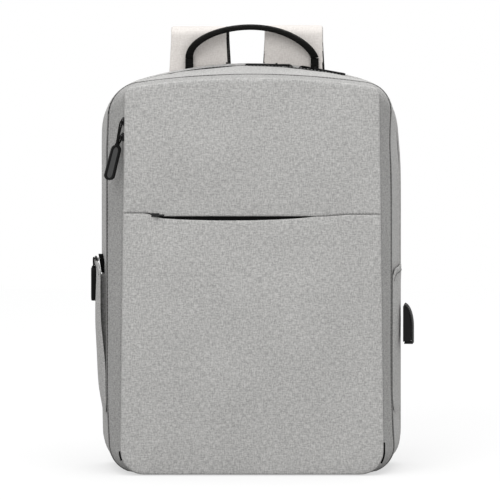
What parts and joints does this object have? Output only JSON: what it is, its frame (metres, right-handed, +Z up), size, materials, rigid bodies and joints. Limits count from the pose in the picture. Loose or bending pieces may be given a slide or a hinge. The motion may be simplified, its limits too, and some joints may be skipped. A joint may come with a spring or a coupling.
{
  "type": "laptop backpack",
  "caption": "Slim laptop backpack with a zipped front cover, front and side pockets, padded shoulder straps, a carry handle and a charging port on its side.",
  "frame": {"origin": "centre of the base, on the surface that the bag stands on", "axes": "+Z up, front face towards -Y, +X to the right of a person who looks at the front"},
  "size_m": [0.323, 0.1625, 0.443],
  "materials": {
    "face_cloth": "light grey melange polyester",
    "wing_cloth": "light grey melange polyester, in shade",
    "strap_cloth": "pale warm grey woven polyester",
    "lining": "dark plain-weave lining",
    "air_mesh": "black open air mesh",
    "board": "stiff board",
    "zip_tape": "black woven zip tape",
    "black_metal": "black painted zinc",
    "pull_cord": "black braided cord",
    "grip_rubber": "matt black rubber",
    "port_plastic": "glossy black",
    "port_steel": "plated shell",
    "black_webbing": "black webbing",
    "lock_plastic": "black moulded"
  },
  "bodies": {
    "shell": {"front_gusset": "wing_cloth", "front_hem_strip": "wing_cloth", "front_zip_tape": "zip_tape", "main_gusset": "face_cloth", "main_zip_tape": "zip_tape", "seam_binding": "lining", "base_board": "board", "divider_panel": "lining", "organiser_pocket": "lining", "pen_pocket": "lining", "left_pocket_panel": "face_cloth", "left_pocket_zip": "zip_tape", "right_pocket_panel": "face_cloth", "right_pocket_hem": "face_cloth", "port_housing": "port_plastic", "port_shell": "port_steel", "port_tongue": "port_plastic"},
    "port_cover": {"port_cover": "grip_rubber"},
    "front_cover": {"front_upper_panel": "face_cloth", "front_pocket_panel": "face_cloth", "front_pocket_backing": "lining", "front_pocket_zip": "zip_tape"},
    "front_pocket_slider": {"front_pocket_slider": "black_metal"},
    "front_pocket_pull": {"front_pocket_pull": "black_metal"},
    "upper_slider": {"upper_slider": "black_metal"},
    "upper_pull": {"upper_pull_cord": "pull_cord", "upper_pull_grip": "grip_rubber"},
    "lower_slider": {"lower_slider": "black_metal"},
    "lower_pull": {"lower_pull_cord": "pull_cord", "lower_pull_grip": "grip_rubber"},
    "side_slider": {"side_slider": "black_metal"},
    "side_pull": {"side_pull_cord": "pull_cord", "side_pull_grip": "grip_rubber"},
    "main_left_slider": {"main_left_slider": "black_metal"},
    "main_left_pull": {"main_left_pull_cord": "pull_cord", "main_left_pull_grip": "grip_rubber"},
    "main_right_slider": {"main_right_slider": "black_metal"},
    "main_right_pull": {"main_right_pull_cord": "pull_cord", "main_right_pull_grip": "grip_rubber"},
    "back_section": {"back_panel": "face_cloth", "left_back_pad": "air_mesh", "right_back_pad": "air_mesh", "strap_yoke": "black_webbing", "luggage_band": "face_cloth", "laptop_sleeve": "lining", "left_handle_foot": "black_webbing", "right_handle_foot": "black_webbing", "left_strap_root": "strap_cloth", "right_strap_root": "strap_cloth", "left_strap_anchor": "face_cloth", "right_strap_anchor": "face_cloth"},
    "sleeve_strap": {"sleeve_strap": "lining"},
    "carry_handle": {"carry_handle": "black_webbing"},
    "left_strap": {"left_strap_pad": "strap_cloth", "left_strap_lock": "lock_plastic", "left_webbing": "black_webbing"},
    "right_strap": {"right_strap_pad": "strap_cloth", "right_strap_lock": "lock_plastic", "right_webbing": "black_webbing"}
  },
  "joints": [
    {"name": "front_cover_hinge", "type": "hinge", "parent": "shell", "child": "front_cover", "pos_m": [0, -0.06, 0.001], "axis": [1, 0, 0], "range_deg": [0, 80]},
    {"name": "back_section_hinge", "type": "hinge", "parent": "shell", "child": "back_section", "pos_m": [0, 0.06, 0.001], "axis": [-1, 0, 0], "range_deg": [0, 40]},
    {"name": "port_cover_hinge", "type": "hinge", "parent": "shell", "child": "port_cover", "pos_m": [0.1531, 0.01215, 0.16502], "axis": [-0.0872, -0.9962, 0], "range_deg": [0, 110]},
    {"name": "front_pocket_slide", "type": "slide", "parent": "front_cover", "child": "front_pocket_slider", "axis": [1, 0, 0], "range_m": [0, 0.16]},
    {"name": "front_pocket_pull_hinge", "type": "hinge", "parent": "front_pocket_slider", "child": "front_pocket_pull", "pos_m": [-0.0967, -0.0621, 0.2624], "axis": [0, 0, -1], "range_deg": [0, 150]},
    {"name": "upper_zip_slide", "type": "slide", "parent": "shell", "child": "upper_slider", "axis": [0.0112, 0, 0.9999], "range_m": [0, 0.015]},
    {"name": "upper_pull_hinge", "type": "hinge", "parent": "upper_slider", "child": "upper_pull", "pos_m": [-0.13322, -0.05724, 0.356], "axis": [-0.3511, 0.9363, 0], "range_deg": [0, 100]},
    {"name": "lower_zip_slide", "type": "slide", "parent": "shell", "child": "lower_slider", "axis": [-0.0112, 0, -0.9999], "range_m": [0, 0.15]},
    {"name": "lower_pull_hinge", "type": "hinge", "parent": "lower_slider", "child": "lower_pull", "pos_m": [-0.1334, -0.05724, 0.3405], "axis": [-0.3511, 0.9363, 0], "range_deg": [-10, 12]},
    {"name": "side_zip_slide", "type": "slide", "parent": "shell", "child": "side_slider", "axis": [-0.0872, 0.9962, 0], "range_m": [-0.02, 0.02]},
    {"name": "side_pull_hinge", "type": "hinge", "parent": "side_slider", "child": "side_pull", "pos_m": [-0.15783, 0.01174, 0.2115], "axis": [-0.0872, 0.9962, 0], "range_deg": [-3, 110]},
    {"name": "main_left_zip_slide", "type": "slide", "parent": "shell", "child": "main_left_slider", "axis": [-0.9957, 0, 0.0925], "range_m": [0, 0.03]},
    {"name": "main_left_pull_hinge", "type": "hinge", "parent": "main_left_slider", "child": "main_left_pull", "pos_m": [0.03741, 0.0508, 0.40567], "axis": [0, 1, 0], "range_deg": [0, 25]},
    {"name": "main_right_zip_slide", "type": "slide", "parent": "shell", "child": "main_right_slider", "axis": [0.9922, 0, -0.125], "range_m": [0, 0.02]},
    {"name": "main_right_pull_hinge", "type": "hinge", "parent": "main_right_slider", "child": "main_right_pull", "pos_m": [0.05055, 0.0508, 0.40423], "axis": [0, -1, 0], "range_deg": [0, 15]},
    {"name": "sleeve_strap_hinge", "type": "hinge", "parent": "back_section", "child": "sleeve_strap", "pos_m": [0, 0.052, 0.3147], "axis": [-1, 0, 0], "range_deg": [0, 60]},
    {"name": "carry_handle_hinge", "type": "hinge", "parent": "back_section", "child": "carry_handle", "pos_m": [0, 0.0553, 0.40865], "axis": [1, 0, 0], "range_deg": [0, 75], "stiffness_Nm_per_rad": 0.02},
    {"name": "left_strap_hinge", "type": "hinge", "parent": "back_section", "child": "left_strap", "pos_m": [-0.052, 0.0761, 0.4242], "axis": [1, 0, 0], "range_deg": [0, 15]},
    {"name": "right_strap_hinge", "type": "hinge", "parent": "back_section", "child": "right_strap", "pos_m": [0.042, 0.0761, 0.4242], "axis": [1, 0, 0], "range_deg": [0, 15]}
  ]
}
